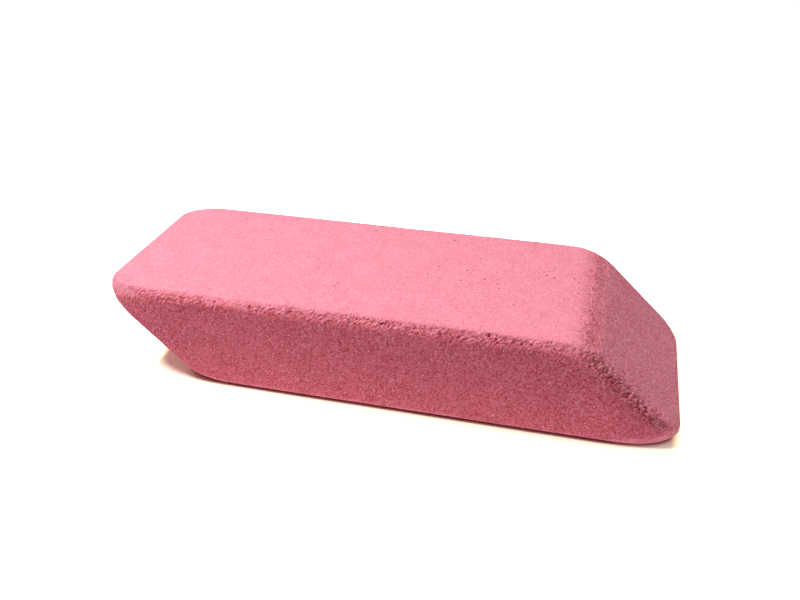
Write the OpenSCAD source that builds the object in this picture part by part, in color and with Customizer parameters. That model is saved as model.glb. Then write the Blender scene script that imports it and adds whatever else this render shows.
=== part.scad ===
// Rubber eraser with slanted ends: one solid block whose ends lie parallel, so that it is a
// parallelogram from the side. Every edge is rounded, and the corners are rounder than the edges.
// Origin: on the bench, under the middle of the block. +X runs along it, +Z is up.

/* [Body] */
// Overall length, from the tip of one end to the tip of the other
body_l = 51.5; // [44:0.5:70]
// Width between the two side faces
body_w = 19; // [14:0.5:28]
// Thickness between the top and the bottom face
body_h = 9; // [7:0.25:13]
// Slant of both ends, measured from the bench
end_angle = 43.5; // [38:0.5:60]

/* [Edges] */
// Radius of the two thin edges, where an end meets a face sharply
thin_edge_r = 0.8; // [0.4:0.1:1.2]
// Radius of the two blunt edges, where an end meets a face openly
blunt_edge_r = 4; // [2:0.25:5]
// Radius of the four long edges along the side faces
long_edge_r = 0.8; // [0.4:0.1:1.6]
// Radius of the four slanted edges between the ends and the side faces
end_edge_r = 1.5; // [0.6:0.1:2.4]

/* [Corners] */
// How far in from each side face the corners start to get rounder
corner_reach = 3; // [2.5:0.25:4]
// Radius that the thin edges gain by the time they meet a side face
thin_corner_gain = 1.6; // [0:0.1:2]
// Radius that the blunt edges gain by the time they meet a side face
blunt_corner_gain = 3; // [0:0.25:4]

/* [Hidden] */

// Arcs are drawn with a point at least every so many degrees
arc_step = 12;
// Number of steps from the block's full section out to each side face
stations = 7;
// Part of an end's length that its two roundings may take up between them
end_share = 0.98;

// Angle inside the thin edges and inside the blunt edges
thin_open = end_angle;
blunt_open = 180 - end_angle;
// How far the top face is shifted along X from the bottom face
shift = body_h / tan(end_angle);
// How much of the sharp tip the thin edge's rounding takes off
tip_loss = thin_edge_r * (1 / tan(thin_open / 2) - 1);
// Length of the top and bottom faces between their unrounded edges
face_l = body_l + 2 * tip_loss - shift;

function unit(a) = [cos(a), sin(a)];

// How far an edge of radius r has drawn in, at distance d from the face that it rounds into
function draw_in(r, d) = d < r ? r - sqrt(r * r - (r - d) * (r - d)) : 0;

// Share of the corner gain that applies at distance d from the side face
function gain_at(d) = pow(1 - d / corner_reach, 2);

// Length of side that an arc of radius r uses up in a corner that opens by the given angle
function tangent_run(r, open) = r / tan(open / 2);

// Rounded corner at point p: an arc of radius r that touches both sides.
// The corner's middle line points inward, and the arc faces from one direction round to another.
function corner(p, r, open, inward, from, to) =
    let (
        centre = p + r / sin(open / 2) * unit(inward),
        steps = ceil((to - from) / arc_step)
    )
    [for (i = [0:steps]) centre + r * unit(from + (to - from) * i / steps)];

// Outline of the block, as [x, z] points, on the plane at distance d from a side face
function section(d) =
    let (
        z_in = draw_in(long_edge_r, d),
        x_in = draw_in(end_edge_r, d) / sin(end_angle),
        z_top = body_h - z_in,
        x_mid_top = -shift / 2 + z_in / tan(end_angle),
        half_l = face_l / 2 - x_in,
        thin_r = thin_edge_r + gain_at(d) * thin_corner_gain,
        blunt_r = blunt_edge_r + gain_at(d) * blunt_corner_gain,
        end_l = (z_top - z_in) / sin(end_angle),
        used = tangent_run(thin_r, thin_open) + tangent_run(blunt_r, blunt_open),
        // Both roundings shrink alike where a short end has no room for them
        fit = min(1, end_share * end_l / used)
    )
    concat(
        corner([x_mid_top - half_l, z_top], fit * thin_r, thin_open,
            -thin_open / 2, 90, 270 - end_angle),
        corner([-x_mid_top - half_l, z_in], fit * blunt_r, blunt_open,
            blunt_open / 2, 270 - end_angle, 270),
        corner([-x_mid_top + half_l, z_in], fit * thin_r, thin_open,
            180 - thin_open / 2, 270, 450 - end_angle),
        corner([x_mid_top + half_l, z_top], fit * blunt_r, blunt_open,
            180 + blunt_open / 2, 450 - end_angle, 450)
    );

// The block's outline at distance d from a side face, as points on the plane at y
function ring(y, d) = [for (p = section(d)) [p[0], y, p[1]]];

// A skin over the block's outlines. They draw in towards both side faces, and their corners grow
// rounder on the way.
module eraser_body() {
    insets = [for (i = [0:stations]) corner_reach * (1 - sin(90 * i / stations))];
    front = [for (i = [stations:-1:0]) ring(insets[i] - body_w / 2, insets[i])];
    back = [for (i = [0:stations]) ring(body_w / 2 - insets[i], insets[i])];
    rings = concat(front, back);
    around = len(rings[0]);
    last = len(rings) - 1;

    // Two triangles join a point and its neighbour to the same two points of the next outline
    skin = [
        for (k = [0:last - 1], j = [0:around - 1])
            let (
                a = k * around + j,
                b = k * around + (j + 1) % around
            )
            each [[a, b, b + around], [a, b + around, a + around]]
    ];
    front_face = [for (j = [around - 1:-1:0]) j];
    back_face = [for (j = [0:around - 1]) last * around + j];

    color("lightpink")
        polyhedron([for (r = rings) each r], concat(skin, [front_face, back_face]));
}

eraser_body();
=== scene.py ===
"""Looks of the rubber eraser: one powdery pink block whose edges have crumbled into coarse grain.

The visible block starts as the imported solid's own surface in a much finer mesh. Its blunt edges are
filled out a little, within the planes of their faces, and turn over a shorter way. Everything else
pushes inward: slow waves, crumbs and dents. So the block never passes the solid's box.
Shape functions work in millimetres. Points go back to metres when the mesh is written.
"""

import math

import bpy
import numpy as np
from mathutils import Matrix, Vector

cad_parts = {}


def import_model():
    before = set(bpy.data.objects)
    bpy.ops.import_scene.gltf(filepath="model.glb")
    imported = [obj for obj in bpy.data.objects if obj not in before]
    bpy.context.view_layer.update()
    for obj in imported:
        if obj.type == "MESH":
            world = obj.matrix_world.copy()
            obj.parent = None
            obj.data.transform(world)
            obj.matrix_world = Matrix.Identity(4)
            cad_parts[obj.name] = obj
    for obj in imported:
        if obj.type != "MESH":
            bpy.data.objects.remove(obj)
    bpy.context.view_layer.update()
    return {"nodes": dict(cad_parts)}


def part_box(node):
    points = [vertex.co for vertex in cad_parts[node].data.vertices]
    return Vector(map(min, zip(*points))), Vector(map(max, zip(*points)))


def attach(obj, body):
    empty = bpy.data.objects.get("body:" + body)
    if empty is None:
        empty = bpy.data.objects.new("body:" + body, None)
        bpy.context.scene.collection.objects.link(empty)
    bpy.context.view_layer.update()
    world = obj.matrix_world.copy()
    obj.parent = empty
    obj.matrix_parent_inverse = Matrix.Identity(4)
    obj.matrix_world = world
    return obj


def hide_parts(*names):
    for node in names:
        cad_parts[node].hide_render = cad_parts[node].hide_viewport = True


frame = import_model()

MM = 0.001
NODE = "eraser_body"

# ---------------------------------------------------------------- the block, in mm
BOX_LOW, BOX_HIGH = [np.array(corner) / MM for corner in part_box(NODE)]
LENGTH = BOX_HIGH[0] - BOX_LOW[0]
# Slant of both ends, measured from the floor
END_ANGLE = math.radians(43.5)

# Outward directions of the six faces
END_X, END_Z = math.sin(END_ANGLE), math.cos(END_ANGLE)
FACES = {
    "top": (0, 0, 1),
    "bottom": (0, 0, -1),
    "front": (0, -1, 0),
    "back": (0, 1, 0),
    "right": (END_X, 0, END_Z),
    "left": (-END_X, 0, -END_Z),
}

# How far the visible blunt edges may stand out past the solid's, how far their arcs lie inside the
# planes of their faces, and over what length that starts from the front and from the back, in mm
FULLER = 0.2
ARC_DEPTH = 1.2
FULL_FROM_FRONT, FULL_FROM_BACK = 1.5, 5.0

# Direction in which the rubber tore as the block was finished
TEAR = (0.6, 0.5, 0.62)

# Spacing of the mesh before it is thinned out, and how many triangles are left
FINE_STEP = 0.07
TRIANGLES = 190000

# Depth of the crumbs along each edge, and how far they reach from it, in mm
EDGES = [
    ("top", "front", 0.22, 1.15),
    ("top", "back", 0.12, 1.1),
    ("bottom", "front", 0.04, 0.5),
    ("bottom", "back", 0.04, 0.5),
    ("right", "front", 0.29, 1.5),
    ("right", "back", 0.17, 1.3),
    ("left", "front", 0.12, 1.1),
    ("left", "back", 0.12, 1.1),
    ("top", "right", 0.14, 1.15),
    ("bottom", "left", 0.06, 1.6),
    ("top", "left", 0.05, 0.8),
    ("bottom", "right", 0.05, 0.8),
]
# Share of that depth that the left end has, and what it gains by the right end
LEFT_SHARE, RIGHT_GAIN = 0.45, 0.7
# Size of the patches that have crumbled more or less, in mm, and by what share
CRUMBLED_PATCH, PATCHINESS = 4.5, 0.35
# Crumbs along the edges, chunks among them, and the finest crumbs on both: the size of each in mm,
# and how many times longer it is along the tear
CRUMB, CHUNK, FINEST = (0.28, 1.9), (0.52, 1.3), (0.17, 1.4)
# Crumbs of this depth start to be chunks, and are as chunky as they get this much deeper, in mm
CHUNKS_FROM, CHUNKS_OVER = 0.13, 0.08
# Depth of the crumbs where an edge counts as fully crumbled, in mm
FULLY_CRUMBLED = 0.2
# How hollow a full gap between crumbs is, where their tops are 0
FULL_GAP = 1.2
# Size of the cells that may hold a dent, and depth of the dents, in mm
DENT_CELL, DENT_DEPTH = 0.42, 0.075
# How many times longer a dent is along the tear
DENT_STRETCH = 1.5
# Least radius of a dent and what it may gain, as parts of its cell
DENT_RADIUS, DENT_GAIN = 0.28, 0.5
# Largest share of cells with a dent, and depth of the crumbs from which that holds, in mm
DENTS_SHARE, DENTS_AT = 0.5, 0.14
# How many times further than the crumbs the dents reach
DENTS_REACH = 1.9
# Depth and length of the slow unevenness, and the strip along the underside that it spares, in mm
UNEVEN_DEPTH, UNEVEN_LENGTH, SPARED = 0.012, 7.0, 0.3
# How far the moulded skin and the powdery ends spill over their edges, and how softly they end, in mm
SKIN_SPILL, SKIN_SOFT = 0.3, 0.8
END_SPILL, END_SOFT = 0.0, 0.3
# Depth and length in mm of the waves in the borders of the skin and of the ends, and their seeds
BORDER_WAVES = (0.25, 0.5, 61), (0.15, 1.6, 62)
# How much further the skin spills over the edges at the ends than over the long edges, in mm
SKIN_PAST_ENDS = 0.75


# ---------------------------------------------------------------- repeatable noise
def cell_random(cell, seed):
    """A repeatable random number from 0 to 1 for each whole-number cell."""
    h = cell[:, 0] * 374761393 + cell[:, 1] * 668265263 + cell[:, 2] * 1440662683
    h = (h + seed * 974634777) & 0xFFFFFFFF
    h = ((h ^ (h >> 13)) * 1274126177) & 0xFFFFFFFF
    h = ((h ^ (h >> 16)) * 668265263) & 0xFFFFFFFF
    return (h ^ (h >> 15)) / 0xFFFFFFFF


def neighbours(reach):
    """Offsets of the cells around a cell, itself among them."""
    span = range(reach[0], reach[1] + 1)
    return [np.array([i, j, k]) for i in span for j in span for k in span]


def waves(points, size, seed):
    """Smooth random waves from -1 to 1, about one wave every size."""
    q = points / size
    cell = np.floor(q).astype(np.int64)
    t = q - cell
    t = t * t * (3 - 2 * t)
    total = np.zeros(len(points))
    for step in neighbours((0, 1)):
        weight = np.prod(np.where(step == 1, t, 1 - t), axis=1)
        total += weight * cell_random(cell + step, seed)
    return 2 * total - 1


def grains(points, size, seed):
    """Distances to the nearest two of points scattered one to a cell, in cells, and the first's lot."""
    q = points / size
    cell = np.floor(q).astype(np.int64)
    first = np.full(len(points), 9.0)
    second = first.copy()
    lot = np.zeros(len(points))
    for step in neighbours((-1, 1)):
        near = cell + step
        spot = near + np.stack([cell_random(near, seed + k) for k in range(3)], 1)
        d = np.linalg.norm(q - spot, axis=1)
        closer = d < first
        second = np.where(closer, first, np.minimum(second, d))
        first = np.where(closer, d, first)
        lot = np.where(closer, cell_random(near, seed + 3), lot)
    return first, second, lot


def stretched(points, along, factor):
    """Points squeezed along a direction, so that noise on them comes out longer that way."""
    unit = np.array(along) / np.linalg.norm(along)
    return points - (points @ unit)[:, None] * unit * (1 - 1 / factor)


def fade(x):
    """1 at x = 0, falling smoothly to 0 at x = 1."""
    x = np.clip(x, 0, 1)
    return 1 - x * x * (3 - 2 * x)


# ---------------------------------------------------------------- the block's mesh
def with_modifier(obj, kind, **settings):
    """Runs one modifier on the object and keeps its result as the object's mesh."""
    modifier = obj.modifiers.new(kind.lower(), kind)
    for name, value in settings.items():
        setattr(modifier, name, value)
    changed = obj.evaluated_get(bpy.context.evaluated_depsgraph_get())
    result = bpy.data.meshes.new_from_object(changed)
    obj.modifiers.clear()
    obj.data = result


def read_vectors(items, name):
    """One vector of every item, as rows."""
    flat = np.zeros(len(items) * 3)
    items.foreach_get(name, flat)
    return flat.reshape(-1, 3)


def face_distances(points):
    """How far each point lies inside the plane of each face."""
    inside = {}
    for name, direction in FACES.items():
        reach = points @ np.array(direction)
        inside[name] = reach.max() - reach
    return inside


def crumb_depth(points, widened=1.0):
    """How coarse the crumbs are at each point: the depth in mm that its nearest edges give it."""
    inside = face_distances(points)
    depth = np.zeros(len(points))
    for one, other, deepest, reach in EDGES:
        away = np.hypot(inside[one], inside[other])
        depth = np.maximum(depth, deepest * fade(away / (reach * widened)))
    # The block has crumbled more towards its right end, and in patches
    along = (points[:, 0] - BOX_LOW[0]) / LENGTH
    patches = 1 + PATCHINESS * waves(points, CRUMBLED_PATCH, seed=11)
    return depth * (LEFT_SHARE + RIGHT_GAIN * along) * patches


def crumbs(points, size, stretch, seed):
    """Rounded crumbs, longer along the tear: 0 on their tops, and up to 1.4 in the gaps between them."""
    first, second, lot = grains(stretched(points, TEAR, stretch), size, seed)
    # Domes of different heights, with a groove where two of them meet
    dome = np.sqrt(np.clip(1 - (first / 0.9) ** 2, 0, 1)) * (0.3 + 0.7 * lot)
    return np.clip(1 - dome + 0.6 * fade((second - first) / 0.3), 0, 1.4)


def filled_out(inside):
    """How far the blunt edges stand out past the solid's, and never past the planes of their faces."""
    most = np.zeros(len(inside["top"]))
    for one, other in (("top", "right"), ("bottom", "left")):
        room = np.minimum(inside[one], inside[other])
        on_edge = np.maximum(inside[one], inside[other]) < ARC_DEPTH
        most = np.maximum(most, np.where(on_edge, FULLER * (1 - np.exp(-room / FULLER)), 0))
    # Their ends keep the solid's rounder corners
    from_front = 1 - fade(inside["front"] / FULL_FROM_FRONT)
    return most * from_front * (1 - fade(inside["back"] / FULL_FROM_BACK))


def roughened(points, normals):
    """The points pushed inward by the block's roughness, its coarseness there, and where gaps lie."""
    coarse = crumb_depth(points)
    # Narrow crumbs everywhere along the edges, and chunks among them where the edge is most torn
    chunky = np.clip((coarse - CHUNKS_FROM) / CHUNKS_OVER, 0, 1)
    narrow = crumbs(points, *CRUMB, seed=21)
    chunks = crumbs(points, *CHUNK, seed=26)
    hollow = narrow + chunky * (0.75 * chunks - 0.45 * narrow)
    hollow = hollow / (1 + 0.3 * chunky)
    push = coarse * (0.7 * hollow + 0.3 * crumbs(points, *FINEST, seed=31))
    # Separate dents where the crumbs run out
    first, _, lot = grains(stretched(points, TEAR, DENT_STRETCH), DENT_CELL, seed=41)
    share = np.clip(crumb_depth(points, DENTS_REACH) / DENTS_AT, 0, 1) * DENTS_SHARE
    cell = np.floor(points / DENT_CELL).astype(np.int64)
    width = DENT_RADIUS + DENT_GAIN * cell_random(cell, seed=45)
    push = push + np.where(lot < share, DENT_DEPTH * fade(first / width), 0)
    # A slow unevenness everywhere, except where the underside lies on the floor
    inside = face_distances(points)
    slow = UNEVEN_DEPTH * (1 + waves(points, UNEVEN_LENGTH, seed=51))
    push = push + slow * (1 - 0.9 * fade(inside["bottom"] / SPARED)) - filled_out(inside)
    return points - normals * push[:, None], coarse, hollow / FULL_GAP


def nearness(points, inside, names, spill, soft):
    """1 where one of the named faces is the nearest, 0 where another is, with a ragged border.

    The border lies a spill past the edge, and takes a stretch of length soft.
    """
    mine = np.min([inside[name] for name in names], axis=0)
    others = np.min([inside[name] for name in FACES if name not in names], axis=0)
    ragged = sum(depth * waves(points, length, seed) for depth, length, seed in BORDER_WAVES)
    return 1 - fade((others - mine + spill + ragged) / soft + 0.5)


def write_attribute(mesh, name, values):
    """Gives every point of the mesh a number that its material can read by name."""
    attribute = mesh.attributes.new(name, "FLOAT", "POINT")
    attribute.data.foreach_set("value", values.astype(np.float32))


def eraser_block():
    """The whole eraser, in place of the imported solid."""
    mesh = frame["nodes"][NODE].data.copy()
    mesh.materials.clear()
    block = bpy.data.objects.new("eraser_rubber", mesh)
    bpy.context.scene.collection.objects.link(block)
    with_modifier(block, "REMESH", mode="VOXEL", voxel_size=FINE_STEP * MM)
    mesh = block.data
    points = read_vectors(mesh.vertices, "co") / MM
    normals = read_vectors(mesh.vertices, "normal")
    points, coarse, hollow = roughened(points, normals)
    mesh.vertices.foreach_set("co", (points * MM).ravel())
    inside = face_distances(points)
    write_attribute(mesh, "crumbly", np.clip(coarse / FULLY_CRUMBLED, 0, 1))
    write_attribute(mesh, "hollow", np.clip(hollow, 0, 1))
    # To the skin the ends lie further away, so that it spills further over their edges
    further = {name: inside[name] + SKIN_PAST_ENDS for name in ("right", "left")}
    skin = nearness(points, {**inside, **further}, ("top", "bottom"), SKIN_SPILL, SKIN_SOFT)
    write_attribute(mesh, "skin", skin)
    end = nearness(points, inside, ("right", "left"), END_SPILL, END_SOFT)
    write_attribute(mesh, "end", end)
    with_modifier(block, "DECIMATE", ratio=TRIANGLES / (2 * len(mesh.polygons)),
                  use_collapse_triangulate=True)
    block.data.shade_smooth()
    block.data.materials.append(rubber())
    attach(block, "root")
    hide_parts(NODE)


# ---------------------------------------------------------------- materials
# Darkest and lightest grains of the moulded faces, of the cut sides and of the powdery ends. The cut
# sides' grains are deeper and redder, partly their own colour and partly painted shade
SKIN_COLOURS = (0.82, 0.195, 0.265, 1), (1.0, 0.405, 0.495, 1)
CUT_COLOURS = (0.56, 0.03, 0.058, 1), (1.0, 0.3, 0.385, 1)
END_COLOURS = (0.64, 0.05, 0.09, 1), (1.0, 0.45, 0.54, 1)
# Painted light on the tops of the crumbs, on the moulded faces and elsewhere, painted shade at the
# bottom of the strokes, gaps, cracks and pits, and what lies in the rubber: pale grains, painted as
# glints, and specks
CREST_PAINTED_LIGHT = (1.0, 0.25, 0.32, 1)
CUT_CREST_PAINTED_LIGHT = (1.0, 0.3, 0.375, 1)
PAINTED_SHADE_COLOUR = (0.42, 0.01, 0.025, 1)
PALE_GRAIN_GLINT_COLOUR = (1.0, 0.5, 0.53, 1)
SPECK_COLOUR = (0.28, 0.04, 0.06, 1)
# Size of a grain of sand in the rubber, and of the cells that hold a pit, a sparkle or a speck, in mm
SAND_SIZE = 0.07
PIT_CELL = 0.26
SPARKLE_CELL = 0.42
SPECK_CELL = 0.8
# Size of the fine and the coarse grain, of the crumbs between cracks, and of the torn strokes, in mm
GRAIN_SIZE, COARSE_SIZE = 0.12, 0.25
CRACKED_SIZE, STROKE_SIZE = 0.3, 0.15
# How many times longer the grain, the pits and the strokes are along the tear
GRAIN_STRETCH, PIT_STRETCH, STROKE_STRETCH = 1.4, 2.0, 2.6
# Size of the patches with open cracks, with larger sparkles, with larger specks, of one tone and of
# one roughness, in mm
CRACK_PATCH = 0.9
SPARKLE_PATCH = 2.6
SPECK_PATCH = 3.5
TONE_PATCH = 2.2
ROUGH_PATCH = 0.5
# Width of a crack, and the radii between which a pit ends, as parts of their cells
CRACK_WIDTH = 0.14
PIT_RADIUS = (0.2, 0.4)
# Largest share of cells with a pit
PITS_SHARE = 0.3
# Radius of the sparkles and of the specks in poor and in rich patches, as parts of their cells
SPARKLE_RADIUS = (0.1, 0.21)
SPECK_RADIUS = (0.04, 0.14)
# How many times that size the specks have at the left and at the right end
SPECK_GROWTH = (0.6, 1.2)
# How strongly cracks count among the holes, how strongly strokes, gaps and holes show in the colour as
# painted shade, and sparkles as painted glints
CRACK_SHOWS = 0.7
STROKE_SHADE_SHOWS = 0.35
GAP_SHADE_SHOWS = 0.85
HOLE_SHADE_SHOWS = 0.95
SPARKLE_SHOWS = 0.85
# How strongly the specks show on the moulded and on the cut faces
SPECK_SHOWS = (0.75, 0.2)
# How much of the painted strokes and holes is left where the edge is most torn
PAINTED_LEFT = 0.45
# How light the whole is from place to place
TONE = (0.95, 1.05)
# Height of the grain on the moulded and on the cut faces, and of the coarse grain on those, in mm
GRAIN_HEIGHT = (0.035, 0.1)
COARSE_HEIGHT = 0.14
# Depth of cracks and pits, of strokes and of specks, and height of sparkles, in mm
HOLE_DEPTH = 0.1
STROKE_DEPTH = 0.1
SPECK_DEPTH = 0.03
SPARKLE_HEIGHT = 0.03
# How glossy the rubber is, and how rough from place to place
GLOSS = 0.1
ROUGHNESS = (0.8, 0.97)
# How much the floor reflects onto the block, and the distances from it over which that falls, in mm
PAPER_WHITE = (1.0, 0.42)
PAPER_FROM = (1.5, 13)
# The floor as the camera sees it in shade, and the painted shade where it meets the block
SHADOW_COLOUR = (1.3, 1.26, 1.03, 1)
PAINTED_CONTACT_SHADE = (0.3, 0.05, 0.08, 1)
# How near the block must be for the painted shade on the floor under it, in mm
CONTACT_REACH = 1.5
# Share of open space above the floor over which that painted shade fades
CONTACT_OPEN = (0.2, 0.6)
# Distance from the block over which a painted white glow lightens the floor's shade, in red, in green
# and last in blue, in mm
WHITE_FROM = (0.3, 1.1), (0.35, 1.25), (0.5, 1.6)
# How far in the painted white glow reaches under the overhang at the left end, and under the tip at the
# right, in mm
WHITE_UNDER = (4.2, 1.0)


class Nodes:
    """Short calls for building the node tree of a material or of the world."""

    def __init__(self, owner):
        self.owner = owner
        owner.use_nodes = True
        self.tree = owner.node_tree
        self.tree.nodes.clear()

    def add(self, kind, inputs=None, **settings):
        node = self.tree.nodes.new("ShaderNode" + kind)
        for name, value in settings.items():
            setattr(node, name, value)
        for name, value in (inputs or {}).items():
            if isinstance(value, bpy.types.NodeSocket):
                self.tree.links.new(value, node.inputs[name])
            else:
                node.inputs[name].default_value = value
        return node

    def math(self, operation, a, b=0.0):
        return self.add("Math", {0: a, 1: b}, operation=operation).outputs[0]

    def attribute(self, name):
        return self.add("Attribute", attribute_name=name).outputs["Fac"]

    def mixed(self, factor, a, b, blend="MIX"):
        # A Mix node has a pair of inputs for every kind of value: 6 and 7 are its colours
        inputs = {0: factor, 6: a, 7: b}
        return self.add("Mix", inputs, data_type="RGBA", blend_type=blend).outputs[2]

    def grey(self, level):
        return self.add("CombineColor", {0: level, 1: level, 2: level}).outputs[0]

    def ranged(self, value, low, high, to_low=0.0, to_high=1.0):
        return self.add("MapRange", {0: value, 1: low, 2: high, 3: to_low, 4: to_high},
                        clamp=True).outputs[0]

    def stretched(self, where, along, factor):
        """The place squeezed along a direction, so that noise on it comes out longer that way."""
        unit = tuple(v / math.sqrt(sum(w * w for w in along)) for v in along)
        run = self.add("VectorMath", {0: where, 1: unit}, operation="DOT_PRODUCT").outputs["Value"]
        part = self.math("MULTIPLY", run, 1 - 1 / factor)
        step = self.add("VectorMath", {0: unit, "Scale": part}, operation="SCALE").outputs[0]
        return self.add("VectorMath", {0: where, 1: step}, operation="SUBTRACT").outputs[0]

    def noise(self, where, size, detail=3.0, rough=0.55):
        return self.add("TexNoise", {"Vector": where, "Scale": 1 / size, "Detail": detail,
                                     "Roughness": rough}).outputs["Fac"]


def place_in_mm(n):
    """Where on the object the material is asked for, in mm."""
    place = n.add("TexCoord").outputs["Object"]
    return n.add("VectorMath", {0: place, "Scale": 1 / MM}, operation="SCALE").outputs[0]


def holes(n, where, torn, crumbly):
    """Cracks between crumbs too small for the mesh, and pits, as one mask for their relief and their
    painted shade.
    """
    seam = n.add("TexVoronoi", {"Vector": torn, "Scale": 1 / CRACKED_SIZE},
                 feature="DISTANCE_TO_EDGE").outputs[0]
    open_seam = n.math("MULTIPLY", n.ranged(n.noise(where, CRACK_PATCH, 1.0), 0.42, 0.58), crumbly)
    crack = n.math("MULTIPLY", n.ranged(seam, 0.0, CRACK_WIDTH, 1.0, 0.0), open_seam)
    longer = n.stretched(where, TEAR, PIT_STRETCH)
    cells = n.add("TexVoronoi", {"Vector": longer, "Scale": 1 / PIT_CELL})
    lot = n.add("SeparateColor", {0: cells.outputs["Color"]}).outputs[0]
    pitted = n.math("LESS_THAN", lot, n.ranged(crumbly, 0.3, 0.85, 0.0, PITS_SHARE))
    pit = n.math("MULTIPLY", n.ranged(cells.outputs["Distance"], *PIT_RADIUS, 1.0, 0.0), pitted)
    return n.math("MAXIMUM", n.math("MULTIPLY", crack, CRACK_SHOWS), pit)


def sparkles(n, where, rough_part):
    """Pale mineral grains on the cut faces, painted lighter as their glints, larger in patches."""
    radius = n.ranged(n.noise(where, SPARKLE_PATCH, 1.0), 0.35, 0.65, *SPARKLE_RADIUS)
    away = n.add("TexVoronoi", {"Vector": where, "Scale": 1 / SPARKLE_CELL}).outputs["Distance"]
    shows = n.math("MULTIPLY", rough_part, SPARKLE_SHOWS)
    return n.math("MULTIPLY", n.math("LESS_THAN", away, radius), shows)


def specks(n, where, rough_part):
    """Dark specks, strongest on the moulded faces, and larger in patches and towards the right end."""
    radius = n.ranged(n.noise(where, SPECK_PATCH, 1.0), 0.35, 0.65, *SPECK_RADIUS)
    along = n.add("SeparateXYZ", {0: where}).outputs["X"]
    radius = n.math("MULTIPLY", radius, n.ranged(along, -LENGTH / 2, LENGTH / 2, *SPECK_GROWTH))
    away = n.add("TexVoronoi", {"Vector": where, "Scale": 1 / SPECK_CELL}).outputs["Distance"]
    shows = n.ranged(rough_part, 0.0, 1.0, *SPECK_SHOWS)
    return n.math("MULTIPLY", n.math("LESS_THAN", away, radius), shows)


def plain_colour(n, torn, skin, end):
    """Sand grains: lightest on the moulded faces, deeper and redder on the cut faces, partly as painted
    shade, and powdery on the ends.
    """
    sand = n.add("TexVoronoi", {"Vector": torn, "Scale": 1 / SAND_SIZE}).outputs["Color"]
    shade = n.add("SeparateColor", {0: sand}).outputs[0]
    dark_grain, light_grain = [n.mixed(end, n.mixed(skin, cut, top), powdery)
                               for cut, top, powdery in zip(CUT_COLOURS, SKIN_COLOURS, END_COLOURS)]
    return n.mixed(shade, dark_grain, light_grain)


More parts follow.
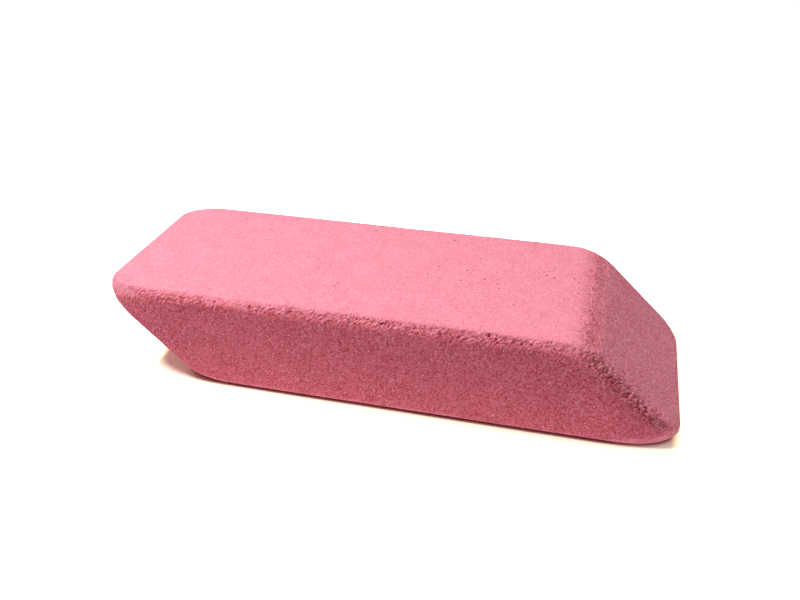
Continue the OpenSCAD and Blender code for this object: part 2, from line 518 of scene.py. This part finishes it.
def rubber():
    """Pumice-filled pink rubber: matte, with a fine grain, pale mineral grains painted lighter as
    glints, dark specks, and painted light and shade on its crumbled edges.
    """
    n = Nodes(bpy.data.materials.new("pink_rubber"))
    where = place_in_mm(n)
    skin, end = n.attribute("skin"), n.attribute("end")
    crumbly, hollow = n.attribute("crumbly"), n.attribute("hollow")
    # 1 where the rubber is cut or torn, and 0 where it is moulded
    rough_part = n.math("SUBTRACT", 1.0, skin)
    torn = n.stretched(where, TEAR, GRAIN_STRETCH)

    # Painted light on the crests of the mesh's crumbs: lighter tops, as if lit, in a redder pink, as of
    # light bounced between the crumbs
    colour = plain_colour(n, torn, skin, end)
    crest_painted_light = n.math("MULTIPLY", crumbly, n.ranged(hollow, 0.2, 0.75, 1.0, 0.4))
    crest_painted_light = n.math("MULTIPLY", crest_painted_light, n.ranged(skin, 0.0, 1.0, 1.0, 0.5))
    colour = n.mixed(crest_painted_light, colour, n.mixed(skin, CUT_CREST_PAINTED_LIGHT, CREST_PAINTED_LIGHT))

    # Strokes of the tear, the mesh's gaps, and painted cracks and pits get painted shade. Where the edge
    # is most torn, the mesh's own crumbs take over from what is painted.
    painted = n.ranged(crumbly, 0.75, 1.0, 1.0, PAINTED_LEFT)
    streaks = n.noise(n.stretched(where, TEAR, STROKE_STRETCH), STROKE_SIZE, 1.0)
    stroke_and_shade = n.math("MULTIPLY", n.ranged(streaks, 0.35, 0.5, 1.0, 0.0), crumbly)
    shown = n.math("MULTIPLY", n.math("MULTIPLY", stroke_and_shade, painted), STROKE_SHADE_SHOWS)
    colour = n.mixed(shown, colour, PAINTED_SHADE_COLOUR)
    gap_shade = n.math("MULTIPLY", crumbly, n.ranged(hollow, 0.68, 0.92, 0.0, GAP_SHADE_SHOWS))
    gap_shade = n.math("MULTIPLY", gap_shade, n.ranged(skin, 0.0, 1.0, 1.0, 0.75))
    colour = n.mixed(gap_shade, colour, PAINTED_SHADE_COLOUR)
    hole_and_shade = n.math("MULTIPLY", holes(n, where, torn, crumbly), painted)
    colour = n.mixed(n.math("MULTIPLY", hole_and_shade, HOLE_SHADE_SHOWS), colour, PAINTED_SHADE_COLOUR)

    # The whole is slightly lighter or darker from place to place, and flecked: pale grains painted
    # lighter as glints, and dark specks
    tone = n.ranged(n.noise(where, TONE_PATCH), 0.3, 0.7, *TONE)
    colour = n.mixed(1.0, colour, n.grey(tone), "MULTIPLY")
    sparkle = sparkles(n, where, rough_part)
    colour = n.mixed(sparkle, colour, PALE_GRAIN_GLINT_COLOUR)
    speck = specks(n, where, rough_part)
    colour = n.mixed(speck, colour, SPECK_COLOUR)

    # Height of all that the mesh doesn't hold, in mm
    grain = n.noise(torn, GRAIN_SIZE, 2.0, 0.6)
    coarse_grain = n.noise(torn, COARSE_SIZE, 2.0, 0.5)
    height = n.math("MULTIPLY", grain, n.ranged(rough_part, 0.0, 1.0, *GRAIN_HEIGHT))
    coarse_height = n.math("MULTIPLY", rough_part, COARSE_HEIGHT)
    height = n.math("ADD", height, n.math("MULTIPLY", coarse_grain, coarse_height))
    height = n.math("SUBTRACT", height, n.math("MULTIPLY", hole_and_shade, HOLE_DEPTH))
    height = n.math("ADD", height, n.math("MULTIPLY", sparkle, SPARKLE_HEIGHT))
    height = n.math("SUBTRACT", height, n.math("MULTIPLY", stroke_and_shade, STROKE_DEPTH))
    height = n.math("SUBTRACT", height, n.math("MULTIPLY", speck, SPECK_DEPTH))
    bump = n.add("Bump", {"Height": height, "Distance": MM, "Strength": 1.0})
    roughness = n.ranged(n.noise(where, ROUGH_PATCH), 0.3, 0.7, *ROUGHNESS)
    shader = n.add("BsdfPrincipled", {"Base Color": colour, "Roughness": roughness,
                                      "Specular IOR Level": GLOSS, "Normal": bump.outputs[0]})
    n.add("OutputMaterial", {"Surface": shader.outputs[0]})
    return n.owner


def distance_outside(n, where, low, high):
    """How far each place on the floor lies outside an upright box."""
    parts = n.add("SeparateXYZ", {0: where})
    steps = {}
    for name, least, most in zip("XY", low, high):
        off = n.math("ABSOLUTE", n.math("SUBTRACT", parts.outputs[name], (least + most) / 2))
        steps[name] = n.math("MAXIMUM", n.math("SUBTRACT", off, (most - least) / 2), 0.0)
    outside = n.add("CombineXYZ", steps).outputs[0]
    return n.add("VectorMath", {0: outside}, operation="LENGTH").outputs["Value"]


def seen(n):
    """1 for what the camera sees, directly, in a gloss or through glass, and 0 for light on its way."""
    path = n.add("LightPath")
    direct = n.math("MAXIMUM", path.outputs["Is Camera Ray"], path.outputs["Is Glossy Ray"])
    return n.math("MAXIMUM", direct, path.outputs["Is Transmission Ray"])


def floor_material():
    """Pale paper, made white to the camera by a painted glow, apart from the block's warm shadow and a
    painted contact shade.
    """
    n = Nodes(bpy.data.materials.new("white_floor"))
    where = place_in_mm(n)
    away = distance_outside(n, where, BOX_LOW, BOX_HIGH)
    glow_from = distance_outside(n, where, BOX_LOW + np.array([WHITE_UNDER[0], 0, 0]),
                                BOX_HIGH - np.array([WHITE_UNDER[1], 0, 0]))
    # What it reflects onto the block: most from close by, so that the sides grow lighter downwards
    white = n.ranged(away, *PAPER_FROM, *PAPER_WHITE)
    paper = n.add("BsdfDiffuse", {"Color": n.grey(white)})
    # What is seen of it: shaded beside and under the block, with painted shade where it meets it, and
    # plain white further out, where a painted glow covers its shade
    open_above = n.add("AmbientOcclusion", {"Distance": CONTACT_REACH * MM}, samples=8).outputs["AO"]
    # Painted contact shade: the floor's colour darkens where the block closes it in
    contact_shade = n.ranged(open_above, *CONTACT_OPEN, 1.0, 0.0)
    shown = n.add("BsdfDiffuse", {"Color": n.mixed(contact_shade, SHADOW_COLOUR, PAINTED_CONTACT_SHADE)})
    # Painted light: the floor glows white with distance from the block, red first, so its shade ends in
    # a warm rim
    whitening = {i: n.ranged(glow_from, *span) for i, span in enumerate(WHITE_FROM)}
    painted_glow = n.add("Emission", {"Color": n.add("CombineColor", whitening).outputs[0]})
    shade_and_glow = n.add("AddShader", {0: shown.outputs[0], 1: painted_glow.outputs[0]})
    mix = n.add("MixShader", {0: seen(n), 1: paper.outputs[0], 2: shade_and_glow.outputs[0]})
    n.add("OutputMaterial", {"Surface": mix.outputs[0]})
    return n.owner


# ---------------------------------------------------------------- floor, light and camera
# Half the side of the floor, in mm
FLOOR_REACH = 4000
# Each lamp's direction from the block, its distance and its width in mm, and its brightness
LAMPS = {
    "top_softbox": ((-0.475, -0.165, 0.863), 150, 26, 0.83),
    "fill_softbox": ((0.75, 0.1, 0.65), 220, 120, 0.19),
}
# The light that comes from all around
WORLD_COLOUR = (1.0, 0.98, 0.98, 1)
WORLD_LIGHT = 0.25
# Where the camera stands around the block and above it, its tilt and its angle of view, in degrees
AZIMUTH, ELEVATION, ROLL, VIEW_ANGLE = 14.58, 29.95, -0.25, 50.78
# The point that it looks at, and how far it stands from there, in mm
LOOKS_AT = (-0.45, 1.19, 5.0)
CAMERA_DISTANCE = 80.57


def put(obj, x, y, z, place):
    """Adds an object to the scene at a place in mm, with its own axes along x, y and z."""
    bpy.context.scene.collection.objects.link(obj)
    rows = [[x[i], y[i], z[i], place[i] * MM] for i in range(3)]
    obj.matrix_world = Matrix(rows + [[0, 0, 0, 1]])


def floor():
    """A square sheet of paper under the block."""
    side = FLOOR_REACH * MM
    corners = [(-side, -side, 0), (side, -side, 0), (side, side, 0), (-side, side, 0)]
    mesh = bpy.data.meshes.new("floor")
    mesh.from_pydata(corners, [], [(0, 1, 2, 3)])
    mesh.materials.append(floor_material())
    obj = bpy.data.objects.new("floor", mesh)
    bpy.context.scene.collection.objects.link(obj)


def softbox(name, direction, distance, size, brightness):
    """A round soft lamp that faces the block. A brightness of 1 shows white as white there."""
    data = bpy.data.lights.new(name, "AREA")
    data.shape = "DISK"
    data.size = size * MM
    data.energy = brightness * (math.pi * distance * MM) ** 2
    z = np.array(direction) / np.linalg.norm(direction)
    x = np.cross((0, 1, 0), z)
    x /= np.linalg.norm(x)
    put(bpy.data.objects.new(name, data), x, np.cross(z, x), z, z * distance)


def world():
    """Dim light from all around, which is plain white where the camera sees it."""
    studio = bpy.data.worlds.new("studio")
    bpy.context.scene.world = studio
    n = Nodes(studio)
    dim = n.add("Background", {"Color": WORLD_COLOUR, "Strength": WORLD_LIGHT})
    white = n.add("Background", {"Color": (1, 1, 1, 1), "Strength": 1.0})
    mix = n.add("MixShader", {0: seen(n), 1: dim.outputs[0], 2: white.outputs[0]})
    n.add("OutputWorld", {"Surface": mix.outputs[0]})


def camera():
    """Camera at the photograph's viewing angle, close enough for its strong perspective."""
    azimuth, elevation, roll = [math.radians(a) for a in (AZIMUTH, ELEVATION, ROLL)]
    back = np.array([math.sin(azimuth) * math.cos(elevation),
                     -math.cos(azimuth) * math.cos(elevation), math.sin(elevation)])
    level = np.cross([0, 0, 1.0], back)
    level /= np.linalg.norm(level)
    upright = np.cross(back, level)
    right = math.cos(roll) * level + math.sin(roll) * upright
    up = math.cos(roll) * upright - math.sin(roll) * level
    data = bpy.data.cameras.new("camera")
    data.angle = math.radians(VIEW_ANGLE)
    data.clip_start = MM
    obj = bpy.data.objects.new("camera", data)
    put(obj, right, up, back, np.array(LOOKS_AT) + CAMERA_DISTANCE * back)
    bpy.context.scene.camera = obj


eraser_block()
floor()
for lamp, values in LAMPS.items():
    softbox(lamp, *values)
world()
camera()
bpy.context.scene.view_settings.view_transform = "Standard"
